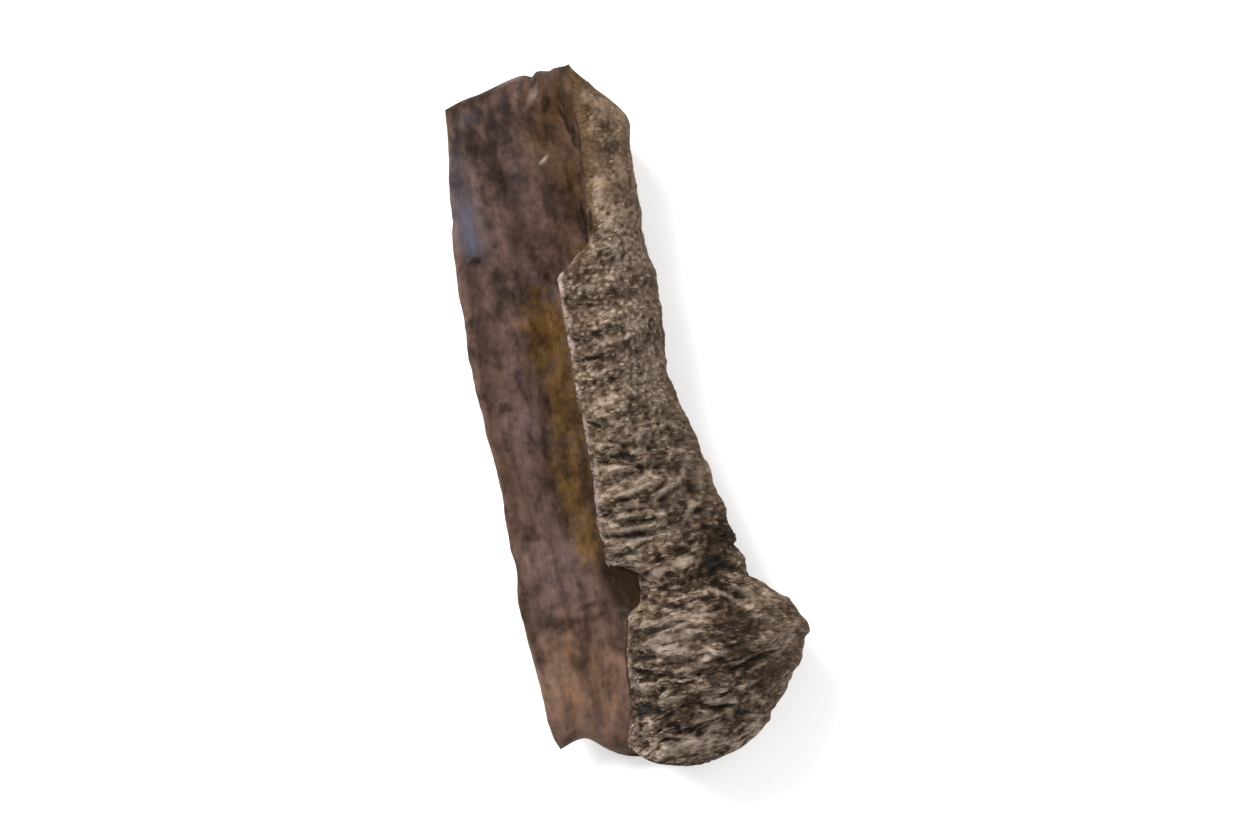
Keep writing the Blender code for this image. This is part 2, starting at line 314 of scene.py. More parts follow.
# dark grooves, partly the wood's own dark and partly painted shade in the groove; the one at about (0.55,
# 13.5) is the painted shadow of the slot beside the lip's step
skinMarks["furrows"] = [
    (-1.39, 4.28, 0.85, 0.1, 5, 0.9), (-1.49, 4.96, 0.65, 0.16, 9, 0.6), (-0.5, 5.94, 0.58, 0.25, -40, 0.6),
    (-1.03, 9.8, 0.41, 0.22, -26, 0.7), (-1.57, -0.54, 0.44, 0.25, -36, 0.9),
    (-0.87, -1.8, 1.11, 0.18, -13, 0.8), (0.18, -3.17, 0.71, 0.34, -42, 0.9),
    (-1.58, -3.19, 0.36, 0.21, -24, 0.8), (-0.4, -3.49, 0.25, 0.15, -36, 0.7),
    (0.85, -4.09, 0.39, 0.21, -35, 0.7), (1.94, -4.24, 0.33, 0.16, -33, 0.6),
    (-0.66, -6.07, 1.19, 0.09, 1, 0.8), (-0.4, -6.87, 1.32, 0.09, -3, 0.7),
    (-0.32, -7.71, 1.93, 0.13, -6, 0.9), (-0.64, -8.8, 2.05, 0.16, -9, 0.9),
    (4.04, -5.9, 0.66, 0.33, -60, 0.6), (4.75, -8.11, 0.64, 0.37, -38, 0.5),
    (0.06, 0.84, 0.25, 0.12, -30, 0.7), (2.68, -6.32, 0.8, 0.19, 30, 0.6), (1.77, -7.11, 0.76, 0.3, 23, 0.5),
    (1.24, 4.95, 0.62, 0.22, -66, 0.4), (2.32, -1.04, 0.63, 0.3, -28, 0.3), (-0.52, 2.11, 0.72, 0.09, 7, 0.4),
    (2.76, 2.99, 0.61, 0.07, -4, 0.3), (-0.35, -8.77, 1.5, 0.2, -2, 1), (-1.45, -9.85, 1.1, 0.24, -3, 1),
    (0.55, 13.5, 1.1, 0.3, 92, 0.9), (-0.29, -15.65, 1.54, 0.14, 5, 0.9),
    (-1.42, -17.52, 0.94, 0.25, -4, 0.9), (-1.78, -18.39, 0.82, 0.29, -25, 1),
    (0.89, -18.09, 1.49, 0.14, 4, 0.9), (-0.26, -18.92, 0.84, 0.12, 4, 0.7),
    (-1.84, -21.06, 1.32, 0.58, -8, 1), (-0.46, -21.82, 0.99, 0.33, 29, 0.9),
    (3.32, -21.75, 1.23, 0.17, 0, 0.9), (4.49, -22.38, 0.45, 0.25, -90, 0.9),
    (0.43, -22.98, 0.5, 0.25, 88, 0.9), (1.94, -23.5, 0.47, 0.27, -90, 0.9),
    (3.05, -19.64, 0.73, 0.43, -61, 0.8), (4.15, -18.37, 1.37, 0.14, -3, 0.8),
    (5.93, -18.92, 1.87, 0.14, 6, 0.8), (0.77, -14.09, 1.52, 0.21, -17, 0.9),
    (4.94, -12.03, 1.33, 0.54, -29, 0.8), (6.27, -14.37, 0.65, 0.21, -24, 0.8),
    (1.98, -19.09, 0.25, 0.15, -87, 1), (-0.01, -24.11, 0.93, 0.21, -28, 0.7),
    (7.48, -16.92, 1.27, 0.17, 7, 0.6), (2.06, -16.67, 1.24, 0.1, -2, 0.7),
    (2.56, -14.57, 1.17, 0.12, -4, 0.5), (0.44, -15.37, 1.01, 0.1, 6, 0.5),
    (-2.63, -20.06, 0.53, 0.15, 16, 0.7), (4.84, -16.22, 1.1, 0.33, -5, 0.7),
    (5.6, -17.36, 1.3, 0.25, -2, 0.7), (2.82, -20.62, 1.19, 0.14, -4, 0.6),
    (-0.18, -19.93, 1.47, 0.15, -5, 0.7), (-2.23, -23.54, 0.57, 0.19, -38, 0.6),
    (3.6, -23.06, 0.79, 0.17, -45, 0.6),
]
# pale marks; the five along the lip's edge, across about -2.4, are a painted highlight where the edge catches
# the light
skinMarks["bleached"] = [
    (-2.33, 9.57, 1.11, 0.3, 89, 0.9), (-2.32, 7.47, 1.1, 0.24, -86, 1), (-2.37, 5.03, 1.21, 0.12, 88, 0.6),
    (-2.57, -0.33, 1.39, 0.12, -83, 0.6), (-2.39, -3.68, 2.17, 0.1, 90, 0.6),
    (-0.38, 1.17, 1.16, 0.33, 16, 1), (-0.41, -0.26, 1.05, 0.25, -38, 1),
    (-0.85, -3.87, 0.69, 0.22, -23, 0.8), (2.04, -6.21, 0.58, 0.19, 29, 0.7), (0.8, -16.6, 2, 0.6, -1, 0.5),
    (2.7, -11.3, 1.3, 0.42, 14, 0.8), (1, -11.65, 0.7, 0.3, 10, 0.5), (3.9, -7.8, 1.2, 0.24, 83, 0.55),
    (3.5, 16.9, 0.6, 1.2, 0, 0.5), (1.5, 15, 2, 0.5, 84, 0.5), (2.2, 22.3, 1.4, 0.4, -55, 0.5),
    (9.3, -17.4, 0.9, 0.25, 50, 0.6),
]
# dark stains, and painted shadow in the notch above the heel at about (-1.8, -11.3)
skinMarks["stained"] = [
    (2.95, 20.3, 0.8, 0.5, 10, 0.9), (2.95, 18.6, 0.9, 0.6, 0, 0.9), (2.6, -7.9, 2.4, 1, 91, 0.6),
    (5.2, -10.6, 1.4, 1, 0, 0.8), (-1.8, -11.3, 1.5, 1.15, 0, 1), (5.9, -17, 2.4, 1.1, -11, 0.5),
    (5, -12, 1.1, 0.7, -20, 0.7), (-2.5, -23.5, 1.2, 0.5, -33, 0.4), (6.6, -20.2, 1.8, 1, 30, 0.4),
    (0.6, 4.5, 1.2, 1, 0, 0.3), (1.3, 24.1, 1.9, 1.3, -50, 1), (0.6, 22.6, 1.2, 0.7, 90, 0.8),
    (1.9, -2.6, 2.4, 0.6, 0, 0.4), (1.6, -1.6, 0.8, 0.5, 0, 0.4), (3.4, -19, 1.6, 0.7, 0, 0.4),
]
skinMarks["light"] = [
    (1.8, 14.8, 2.2, 1.5, 90, 0.2), (2, 12, 1.4, 1.8, 0, 0.14), (0, -3, 2, 1.6, 0, 0.06),
    (0.3, 5, 2.2, 1.8, 90, 0.08), (1.2, 0.9, 1.8, 2.2, 90, 0.12), (0, 9, 1.8, 1.8, 0, -0.08),
    (0.3, -15.9, 1.6, 2.6, 0, -0.04), (2.5, -10.9, 1.2, 2, 90, -0.05), (5.4, -10.4, 2.4, 1.4, 75, -0.3),
    (0.8, 8.5, 4.5, 2.6, 90, 0.09), (3, 1.4, 2.6, 1.2, 90, 0.16), (4, -15.5, 2.6, 1.4, 0, -0.06),
    (1.5, -19.3, 4.6, 2, 0, 0.02), (3, 9, 3, 1.2, 90, 0.12), (6.4, -19.8, 2.2, 2, 0, -0.14),
    (1, -24.6, 4, 0.9, 0, 0.36), (3, -12.9, 3, 0.9, -10, -0.14), (-0.6, 9.8, 2, 1.2, 90, -0.06),
    (2, -22.4, 3, 1, 0, -0.12), (8.8, -17.8, 1.4, 1.4, 0, 0.06), (3, 18.4, 1.8, 1.4, 0, -0.28),
    (2.4, 21.4, 1.4, 1.6, 0, 0.14), (-0.5, -19.5, 1.8, 1.2, 0, -0.1), (0, 1.2, 1.6, 1.6, 0, 0.1),
    (0.2, 5, 1.6, 1.6, 0, 0.06), (3.4, -3, 1.4, 1.4, 0, 0.08),
]
faceMarks = {}
faceMarks["golden"] = [
    (-4.2, 6.7, 3.2, 2, 94, 1), (-3.5, 1.5, 4.8, 1.4, 90, 1), (-3.8, -4.6, 4.6, 1.8, 88, 1),
    (-3.5, -8.2, 2.2, 1.6, 90, 1), (-2.4, 23.3, 1, 1, 0, 0.3), (-2, 19.6, 1.6, 0.9, 90, 0.3),
]
faceMarks["rust"] = [
    (-0.4, 16, 5.4, 1.3, 89, 1), (-0.9, 21.6, 2.2, 1.5, 82, 0.9), (-1.2, 23.6, 1.6, 1.2, 90, 0.7),
    (-1.6, 13.4, 2.6, 0.9, 88, 0.7), (-0.6, 12, 1.6, 1.2, 60, 0.8), (0.5, 22.6, 3.2, 1.4, 98, 1),
]
faceMarks["violet"] = [
    (-4, 18.1, 2.6, 0.8, 92, 0.6), (-5.6, 15.5, 3.8, 1, 88, 0.4), (-7.3, 18.7, 2.6, 0.9, 88, 0.6),
    (-6.2, 6, 3.5, 1.2, 88, 0.5), (-6.6, -0.5, 4, 1.5, 88, 0.5), (-6.4, -9.6, 3.4, 2.6, 90, 1),
    (-8.6, 9.5, 2.2, 0.6, 90, 0.4), (-5.4, 11, 1.6, 0.8, 80, 0.4), (-8.6, 21.4, 1.2, 0.7, 70, 0.6),
]
faceMarks["reddish"] = [
    (-6.4, -17.9, 4.4, 4.4, 0, 1), (-8.9, -5, 5, 0.6, 91, 0.45), (-8.9, 4, 3, 0.5, 91, 0.3),
]
faceMarks["orange"] = [
    (-6.9, -15.9, 0.9, 0.6, 70, 0.9), (-5.2, -17.6, 0.7, 0.4, 90, 0.6), (-7.3, -19.2, 1.1, 0.5, 100, 0.8),
    (-4.6, -20.6, 0.8, 0.5, 30, 0.7), (-5, -22.2, 0.9, 0.5, -10, 0.8), (-6.7, -13.2, 0.8, 0.5, 0, 0.5),
]
# a painted reflection: a bluish grey sheen on the face's left edge, where the resin reflects the light; the
# same spots also give real gloss through the coat
faceMarks["sheen"] = [
    (-7.95, 15.7, 2, 0.9, 88, 0.6), (-7.7, 14.1, 0.9, 0.7, 85, 0.5), (-7.75, 19.5, 1.5, 0.6, 88, 0.25),
    (-6.6, 22.4, 0.8, 0.5, 20, 0.22),
]
faceMarks["bleached"] = [(-1.65, 23.75, 0.95, 0.26, 61, 0.5), (-1.82, 18.8, 0.45, 0.18, 28, 1)]
# dark grooves and pits, partly their own dark and partly painted shade; the one at about (0.1, 13.8) is the
# painted shadow of the slot beside the lip's step
faceMarks["furrows"] = [
    (0.1, 13.8, 1.3, 0.34, 90, 1), (0.4, 21, 2, 0.22, 100, 0.8), (-1, 22.9, 1.1, 0.26, 76, 0.9),
    (-7.9, 1.9, 0.55, 0.4, 0, 0.8), (-6.6, 3.2, 1.3, 0.18, 100, 0.5), (-8.05, -7.3, 0.9, 0.4, -10, 0.5),
    (-7.9, 12.9, 0.45, 0.3, 0, 0.8), (-6.9, -9.4, 0.5, 0.3, 0, 0.4), (-5.2, -13.1, 0.7, 0.25, 10, 0.5),
    (-3.6, 7.4, 1.2, 0.15, 96, 0.5), (-3.9, 1.4, 1.6, 0.15, 92, 0.4), (-0.4, 17.2, 1.4, 0.16, 92, 0.6),
    (-5, 6.9, 1.6, 0.18, 108, 0.6),
]
# dark stains, and painted shadow: in the notch above the heel, about (-1.3, -12), and beside the heel's edge,
# from about (-1.4, -15.5) to (-1.9, -19.5)
faceMarks["stained"] = [
    (-6.2, -14.1, 3.8, 0.42, -1, 0.65), (-1.3, -11.9, 3, 2.3, 90, 1), (-1.2, -12, 1.8, 1.3, 90, 1),
    (-5.1, 24.1, 3, 0.35, 16, 0.8), (-1.4, -15.5, 2.2, 0.6, 100, 0.9), (-1.9, -19.5, 3.8, 0.6, 92, 0.9),
    (-9.2, -13.3, 6.5, 0.35, 94, 0.5), (-4.3, 13.5, 3, 0.9, 84, 0.35), (-8.9, 22.8, 1.6, 0.7, 30, 0.6),
    (-6.6, 20.4, 1.5, 0.5, 96, 0.35), (-7, 10.3, 1.8, 0.7, 80, 0.4), (-2.6, 10.5, 1.6, 0.8, 90, 0.5),
    (-8.3, -7, 1.6, 0.7, 0, 0.3), (-6.2, -6.6, 1.6, 0.5, 10, 0.3),
]
# soft spots that lighten or darken the face; the dark one along the lip's edge, about (-3.1, -5.8), and the
# one in the notch, about (-1.8, -12), are painted shade under the overhanging lip
faceMarks["light"] = [
    (-5, 21.6, 3.6, 2.4, 0, -0.46), (0.2, 23.6, 1.4, 1.8, 0, -0.18), (-3.1, -5.8, 4.6, 1.1, 90, -0.54),
    (-4.4, 17.6, 2.2, 2, 0, -0.16), (-7, 4.8, 3, 1.8, 90, 0.16), (-7, -0.5, 3.6, 2, 90, 0.2),
    (-7.2, -5, 3, 1.8, 90, 0.16), (-6.2, -8.6, 2.4, 2.6, 0, 0.35), (-3.8, 6.8, 2.2, 1.4, 90, 0.4),
    (-5.1, -5.2, 1.6, 0.9, 90, -0.16), (-3.6, 3.2, 1.6, 0.9, 90, 0.22), (-3.6, -0.4, 1.8, 0.9, 90, -0.22),
    (-6, -20.4, 2, 3, 0, 0.42), (-6.3, -11.3, 2.4, 1.8, 0, 0.16), (-1.4, 15.2, 3, 1.3, 90, -0.3),
    (-5.4, 8.5, 2.2, 2, 0, -0.15), (-1.8, -12, 2.2, 1.5, 90, -0.6),
]
softMarks = ("golden", "rust", "violet", "reddish", "orange", "stained")
brokenMarks = ("ridges", "bleached")
summedMarks = ("light", "sheen")


def reachFrom(spot, x, y):
    # how far each point is from a spot's middle, with its edge at 1
    across, along, halfLength, halfWidth, turn = spot[:5]
    c, s = math.cos(math.radians(turn)), math.sin(math.radians(turn))
    far = ((x - across) * c + (y - along) * s) / halfLength
    wide = ((y - along) * c - (x - across) * s) / halfWidth
    return np.sqrt(far**2 + wide**2)


def marksOn(points, groups):
    # summed marks are sums of soft spots; the others are ovals with a wandering outline
    x, y = points[..., 0], points[..., 1]
    wobble = 0.45 * noiseAt(points + 5.0, 0.8) + 0.3 * noiseAt(points + 8.0, 0.35)
    broken = np.clip(0.8 + 0.5 * noiseAt(points + 3.0, 0.55), 0, 1)
    marks = {}
    for name, spots in groups.items():
        inner, outer = (0.15, 1.4) if name in softMarks else (0.5, 1.2)
        mask = np.zeros(x.shape)
        for spot in spots:
            reach = reachFrom(spot, x, y)
            if name in summedMarks:
                mask += spot[-1] * np.exp(-(reach**2))
            else:
                mask = np.maximum(mask, spot[-1] * (1 - smoothRise(inner, outer, reach + wobble)))
        marks[name] = mask * broken if name in brokenMarks else mask
    return marks


def scatteredIn(cells, channel):
    # a fixed random number from 0 to 1 for each whole cell
    mixed = cells[..., 0] * 73856093 ^ cells[..., 1] * 19349663 ^ cells[..., 2] * 83492791 ^ channel * 40503
    mixed = ((mixed ^ (mixed >> 13)) & 0xFFFFFFF) * 12741261 & 0xFFFFFFF
    return ((mixed ^ (mixed >> 11)) & 0xFFFF) / 0xFFFF


def pitsIn(points, size, channel):
    # 1 at the middle of a scattered pit, 0 between pits; some pits are fainter
    place = points / np.array(size)
    home = np.floor(place).astype(np.int64)
    pits = np.zeros(points.shape[:-1])
    for step in itertools.product((-1, 0, 1), repeat=3):
        cell = home + np.array(step)
        jitter = np.stack([scatteredIn(cell, channel + axis) for axis in range(3)], axis=-1)
        reach = np.linalg.norm(place - cell - 0.15 - 0.7 * jitter, axis=-1)
        strength = 0.25 + 0.75 * scatteredIn(cell, channel + 3)
        pits = np.maximum(pits, strength * (1 - smoothRise(0.12, 0.6, reach)))
    return pits


def acrossOnLip(y):
    along, across, _ = np.array(lip, float).T
    return smoothThrough(along, across, y)


def skinPatterns(points):
    # relief and tone of the rough skin, which changes in kind along the shard
    d = skinDetail
    x, y, z = np.moveaxis(points, -1, 0)
    wander = noiseAt(points + 11.0, d["wanderSize"])
    place = y + 2.0 * wander + 1.2 * noiseAt(points + 19.0, 1.1)
    tan = riseAround(d["tanStarts"], d["tanBlend"], place - 0.4 * (x - 1))
    pebbled = riseAround(d["pebblesStart"], d["pebblesBlend"], place) - tan
    foot = 1 - riseAround(d["footStarts"], d["footBlend"], y + 0.3 * wander)
    dashed = 1 - tan - pebbled - foot
    lipSide = 1 - smoothRise(*d["quietSide"], x) * smoothRise(-9, -7, y)
    heelSide = 1 - smoothRise(*d["heelSide"], x) * foot
    bold = (0.55 + 0.45 * lipSide) * (0.45 + 0.55 * heelSide)
    arcs = y + foot * (x - d["arcCentre"]) ** 2 / (2 * d["arcRadius"]) + 0.3 * wander
    arcs = arcs + d["waveHeight"] * noiseAt(points + 83.0, d["waveSize"])
    ring = np.stack([x, arcs, z], axis=-1)
    pits = pitsIn(points, d["pitSize"], 1)
    granules = pitsIn(points + 500.0, d["granuleSize"], 31)
    dashes = pitsIn(ring + 300.0, d["dashSize"], 11)
    grain = noiseAt(points + 23.0, d["grainSize"])
    stripes = noiseAt(ring + 53.0, d["stripeSize"]) + 0.5 * noiseAt(ring + 61.0, d["dashSize"])
    patches = noiseAt(ring + 71.0, d["patchSize"])
    calm = 1 - 0.65 * tan
    low = pebbled * pits + dashed * np.maximum(dashes, 0.6 * pits) + 0.35 * foot * dashes + 0.25 * tan * pits
    onTop = riseAround(d["topStarts"], d["topBlend"], z)
    marks = {name: mask * onTop for name, mask in marksOn(points, skinMarks).items()}
    inward = x - acrossOnLip(np.clip(y, lip[0][0], lip[-1][0])) + 1.1 * noiseAt(points + 37.0, 0.8)
    edgeStain = smoothRise(d["stainStarts"] - 0.4, d["stainStarts"] + 0.8, y)
    edgeStain = edgeStain * (1 - smoothRise(0.1, d["stainWidth"], inward)) * onTop
    height = bold * (
        d["grainHeight"] * grain * calm
        + d["granuleHeight"] * (pebbled + 0.4 * dashed + 0.3 * tan) * granules
        - d["pitDepth"] * (pebbled + 0.6 * dashed + 0.25 * tan) * pits
        - d["dashDepth"] * (dashed + 0.6 * foot) * dashes
        + d["stripeHeight"] * foot * stripes
    )
    height = height + d["ridgeHeight"] * marks["ridges"] - d["furrowDepth"] * marks["furrows"]
    # pits and dashes (low) are darker: partly their own dark colour, partly painted shade in these hollows
    tone = (0.6 + 0.4 * bold) * (
        1.1 * grain * calm
        + 0.65 * (pebbled + 0.4 * dashed) * granules
        - 1.2 * low
        + (0.55 * foot + 0.4 * dashed) * stripes
        + 0.7 * patches * calm
    )
    tone = tone + 0.25 * calm - 0.2 * foot
    marked = np.clip(marks["furrows"] + marks["ridges"] + marks["bleached"], 0, 1)
    traits = {
        "tone": tone, "tan": tan, "pebbled": pebbled, "lined": 0.55 * dashed + foot, "arc": arcs * mm,
        "quiet": 1 - bold, "edgeStain": edgeStain, "slant": foot * (x - d["arcCentre"]) / d["arcRadius"],
        "fibrous": (1 - 0.9 * tan) * (1 - marked) * smoothRise(*d["fibresStart"], z), **marks,
    }
    return height, traits


def facePatterns(points):
    d = faceDetail
    x, y = points[..., 0], points[..., 1]
    gouges = noiseAt(points + 17.0, d["gougeSize"])
    grain = noiseAt(points + 29.0, d["grainSize"])
    lumps = noiseAt(points + 47.0, d["lumpSize"])
    marks = marksOn(points, faceMarks)
    ledge = 1 - smoothRise(-14.5, -13.85, y + 0.35 * lumps)
    height = (
        d["gougeHeight"] * gouges
        + d["grainHeight"] * grain
        + d["lumpHeight"] * lumps
        - d["ledgeDrop"] * ledge
        - d["furrowDepth"] * marks["furrows"]
    )
    tone = 0.6 * gouges + 0.3 * grain + 1.2 * lumps
    # openTop is where the space under the lip lies open, so the painted shade under it stops there
    return height, {"tone": tone, "openTop": smoothRise(10.5, 12.5, y), **marks}


def broadSkinRelief(points):
    b = broadRelief
    x, y, z = np.moveaxis(points, -1, 0)
    wander = noiseAt(points, b["lumpSize"])
    phase = 2 * np.pi * (y - b["ridgeSlant"] * x + wander) / b["ridgeSpacing"]
    ridged = 1 - 0.7 * riseBetween(b["ridgesEnd"], b["ridgesEnd"] + b["ridgesFade"], y)
    ridged *= 0.3 + 0.7 * riseBetween(b["flankHeight"], b["crestHeight"], z)
    ridged *= 0.5 + 0.5 * noiseAt(points + 40.0, b["lumpSize"])
    return b["ridgeHeight"] * np.sin(phase) * ridged + b["lumpHeight"] * noiseAt(points + 90.0, b["lumpSize"])


def broadFaceRelief(points):
    b = broadRelief
    return b["fluteDepth"] * noiseAt(points * (1, b["fluteWidth"] / b["fluteLength"], 1), b["fluteWidth"])


def settled(points, nearEdge):
    f = shellForm
    crack = np.exp(-(((points[..., 0] - f["crackPlace"]) / f["crackWidth"]) ** 2))
    crack = crack * smoothRise(*f["crackRuns"], points[..., 1])
    points = bentByNoise(points, f["growthSize"], f["growthBend"])
    points = bentByNoise(points, f["chipSize"], f["chipBend"])
    chipped = bentByNoise(points, f["edgeChipSize"], f["edgeChipBend"])
    points = points + (chipped - points) * nearEdge[..., None]
    points[..., 1] -= f["crackDepth"] * crack
    points[..., 2] = np.maximum(points[..., 2], 0)
    return points


def shellSheets():
    # the skin and the scraped face as grids of points, with what colours them
    f = shellForm
    across = graded(1.0, f["rimRoundingShare"], f["lipRoundingShare"], f["stepsAcross"], f["coarseShare"])
    length = lip[-1][0] - lip[0][0]
    distance = graded(length, f["plateEndRounding"], f["plateEndRounding"], f["stepsAlong"])
    along = distance / length
    skinRails = [
        movedUp(leftRim, -f["rimWall"]), belly, soleLeft, soleRight, flank, shoulder, crest,
        movedUp(lip, f["lipWall"]),
    ]
    skin = sheetThrough(skinRails, across, along)
    face = sheetThrough([leftRim, floor, valley, undercut, roof, lip], across, along)
    thick = riseBetween(f["thickPartStarts"], f["thickPartFull"], across)
    lean = f["topLean"] * thick * riseBetween(0, f["lipLeanShare"], 1 - across)
    lean = lean * riseBetween(length - f["topLeanReach"], length, distance)[:, None]
    middle = face + (skin - face) * (0.5 - lean)[..., None]
    heelRadius = f["plateEndRounding"] + thick * (f["heelEndRounding"] - f["plateEndRounding"])
    topRadius = f["plateEndRounding"] + thick * (f["topEndRounding"] - f["plateEndRounding"])
    left = (
        thicknessLeft(across, f["rimRoundingShare"])
        * thicknessLeft(1 - across, f["lipRoundingShare"])
        * thicknessLeft(distance[:, None], heelRadius)
        * thicknessLeft(length - distance[:, None], topRadius)
    )[..., None]

    skinHeight, skinTraits = skinPatterns(skin)
    faceHeight, faceTraits = facePatterns(face)
    skin = skin + normalsOf(skin) * (broadSkinRelief(skin) + skinHeight)[..., None]
    face = face - normalsOf(face) * (broadFaceRelief(face) - faceHeight)[..., None]
    nearLip = 1 - smoothRise(0, f["edgeChipReach"], 1 - across)
    nearRim = 0.6 * (1 - smoothRise(0, f["edgeChipReach"], across))
    nearEdge = np.broadcast_to(nearLip + nearRim, skin.shape[:2])
    skin = settled(middle + (skin - middle) * left, nearEdge)
    face = settled(middle + (face - middle) * left, nearEdge)
    acrossGrid = np.broadcast_to(across, skin.shape[:2])
    alongGrid = np.broadcast_to(along[:, None], skin.shape[:2])
    traits = {"lipEdge": (1 - acrossGrid, 1 - acrossGrid), "rimEdge": (acrossGrid, acrossGrid)}
    blank = np.zeros(acrossGrid.shape)
    for name in {**skinTraits, **faceTraits}:
        traits[name] = (skinTraits.get(name, blank), faceTraits.get(name, blank))
    return skin, face, acrossGrid, alongGrid, traits


def buildShard():
    skin, face, across, along, traits = shellSheets()
    rows, columns = across.shape
    both = np.concatenate([skin.reshape(-1, 3), face.reshape(-1, 3)])
    centre = (both.min(axis=0) + both.max(axis=0)) / 2
    solidCentre = np.array((solidBox[0] + solidBox[1]) / 2) / mm
    shift = (solidCentre - centre) * (1, 1, 0)

    # the two grids share the points of their whole border
    skinIndex = np.arange(rows * columns).reshape(rows, columns)
    inside = np.zeros((rows, columns), bool)
    inside[1:-1, 1:-1] = True
    faceIndex = skinIndex.copy()
    faceIndex[inside] = rows * columns + np.arange(inside.sum())
    places = np.concatenate([skin.reshape(-1, 3), face[inside]]) + shift

    def quads(index, flipped):
        corners = [index[:-1, :-1], index[:-1, 1:], index[1:, 1:], index[1:, :-1]]
        stacked = np.stack(corners[::-1] if flipped else corners, axis=-1)
        return stacked.reshape(-1, 4)

    faces = np.concatenate([quads(skinIndex, True), quads(faceIndex, False)])
    mesh = bpy.data.meshes.new("shard")
    mesh.vertices.add(len(places))
    mesh.vertices.foreach_set("co", (places * mm).astype(np.float32).ravel())
    mesh.loops.add(faces.size)
    mesh.loops.foreach_set("vertex_index", faces.ravel().astype(np.int32))
    mesh.polygons.add(len(faces))
    mesh.polygons.foreach_set("loop_start", np.arange(0, faces.size, 4, dtype=np.int32))
    half = len(faces) // 2
    mesh.polygons.foreach_set("material_index", np.repeat([0, 1], half).astype(np.int32))
    mesh.update(calc_edges=True)
    mesh.shade_smooth()

    # a flat layout of both grids side by side, about in proportion to their real widths
    split, gap = 0.7, 0.01
    flatSkin = np.stack([across * (split - gap), along], axis=-1).reshape(-1, 2)
    flatFace = np.stack([split + gap + across * (1 - gap - split), along], axis=-1).reshape(-1, 2)
    corners = np.concatenate([flatSkin[quads(skinIndex, True)], flatFace[quads(skinIndex, False)]])
    layout = mesh.uv_layers.new(name="OFBake")
    layout.uv.foreach_set("vector", corners.astype(np.float32).ravel())

    for name, (onSkin, onFace) in traits.items():
        values = np.concatenate([np.asarray(onSkin).ravel(), np.asarray(onFace)[inside]])
        trait = mesh.attributes.new(name, "FLOAT", "POINT")
        trait.data.foreach_set("value", values.astype(np.float32))
    mesh.validate()
    return mesh


class Wire:
    # a socket in a node tree that can be used in sums
    def __init__(self, tree, socket=None):
        self.tree = tree
        self.socket = socket

    def node(self, kind, settings=None, sockets=None, output=0):
        made = self.tree.nodes.new(kind)
        for name, value in (settings or {}).items():
            if name == "stops":
                ramp = made.color_ramp
                while len(ramp.elements) < len(value):
                    ramp.elements.new(0.5)
                for stop, (place, shade) in zip(ramp.elements, value):
                    stop.position = place
                    stop.color = shade
            else:
                setattr(made, name, value)
        for name, value in (sockets or {}).items():
            if isinstance(value, Wire):
                self.tree.links.new(value.socket, made.inputs[name])
            else:
                made.inputs[name].default_value = value
        return Wire(self.tree, made.outputs[output] if made.outputs else None)

    def other(self, output):
        return Wire(self.tree, self.socket.node.outputs[output])

    def maths(self, operation, first, second):
        return self.node("ShaderNodeMath", {"operation": operation}, {0: first, 1: second})

    def __add__(self, other):
        return self.maths("ADD", self, other)

    __radd__ = __add__

    def __mul__(self, other):
        return self.maths("MULTIPLY", self, other)

    __rmul__ = __mul__

    def __sub__(self, other):
        return self.maths("SUBTRACT", self, other)

    def __rsub__(self, other):
        return self.maths("SUBTRACT", other, self)

    def vector(self, x, y, z):
        return self.node("ShaderNodeCombineXYZ", None, {"X": x, "Y": y, "Z": z})

    def risen(self, low, high):
        sockets = {"Value": self, "From Min": low, "From Max": high}
        return self.node("ShaderNodeMapRange", {"interpolation_type": "SMOOTHSTEP"}, sockets)

    def mixed(self, under, over):
        # this wire, held between 0 and 1, is how much of over covers under; both are colours
        settings = {"data_type": "RGBA", "clamp_factor": True}
        return self.node("ShaderNodeMix", settings, {0: self, 6: under, 7: over}, 2)

    def trait(self, name):
        return self.node("ShaderNodeAttribute", {"attribute_name": name}, output="Fac")

    def place(self, stretch, grown=False):
        # object coordinates in pattern sizes: stretch is one size in millimetres for each axis;
        # grown follows the skin's growth lines instead of the straight length
        source = self.node("ShaderNodeTexCoord", output="Object")
        if grown:
            split = self.node("ShaderNodeSeparateXYZ", None, {"Vector": source}, "X")
            source = self.vector(split, self.trait("arc"), split.other("Z"))
        scale = tuple(1 / (size * mm) for size in stretch)
        return self.node("ShaderNodeMapping", None, {"Vector": source, "Scale": scale})

    def grainy(self, stretch, detail=2.0, rough=0.5, grown=False):
        sockets = {"Vector": self.place(stretch, grown), "Scale": 1.0, "Detail": detail, "Roughness": rough}
        return self.node("ShaderNodeTexNoise", None, sockets, "Fac")

    def bands(self, stretch, low, high):
        # broken bands along the growth, from 0 between them to 1 on them
        return self.grainy(stretch, 1.0, 0.4, grown=True).risen(low, high)

    def dots(self, stretch):
        # packed round grains, 1 at the middle of a grain
        sockets = {"Vector": self.place(stretch), "Scale": 1.0, "Randomness": 0.8}
        return 1 - self.node("ShaderNodeTexVoronoi", None, sockets, "Distance").risen(0.1, 0.62)


def colour(red, green, blue):
    return (red, green, blue, 1.0)


def placed(name, data):
    made = bpy.data.objects.new(name, data)
    bpy.context.collection.objects.link(made)
    return made


def emptyMaterial(name):
    material = bpy.data.materials.new(name)
    material.use_nodes = True
    tree = material.node_tree
    tree.nodes.clear()
    return material, Wire(tree)        # a wire without a socket, from which the nodes are made


def surfaced(bench, sockets):
    shader = bench.node("ShaderNodeBsdfPrincipled", None, sockets)
    bench.node("ShaderNodeOutputMaterial", None, {"Surface": shader})


def bumped(bench, height, look):
    sockets = {"Strength": 1.0, "Distance": look["bumpDepth"] * mm, "Height": height}
    return bench.node("ShaderNodeBump", None, sockets)


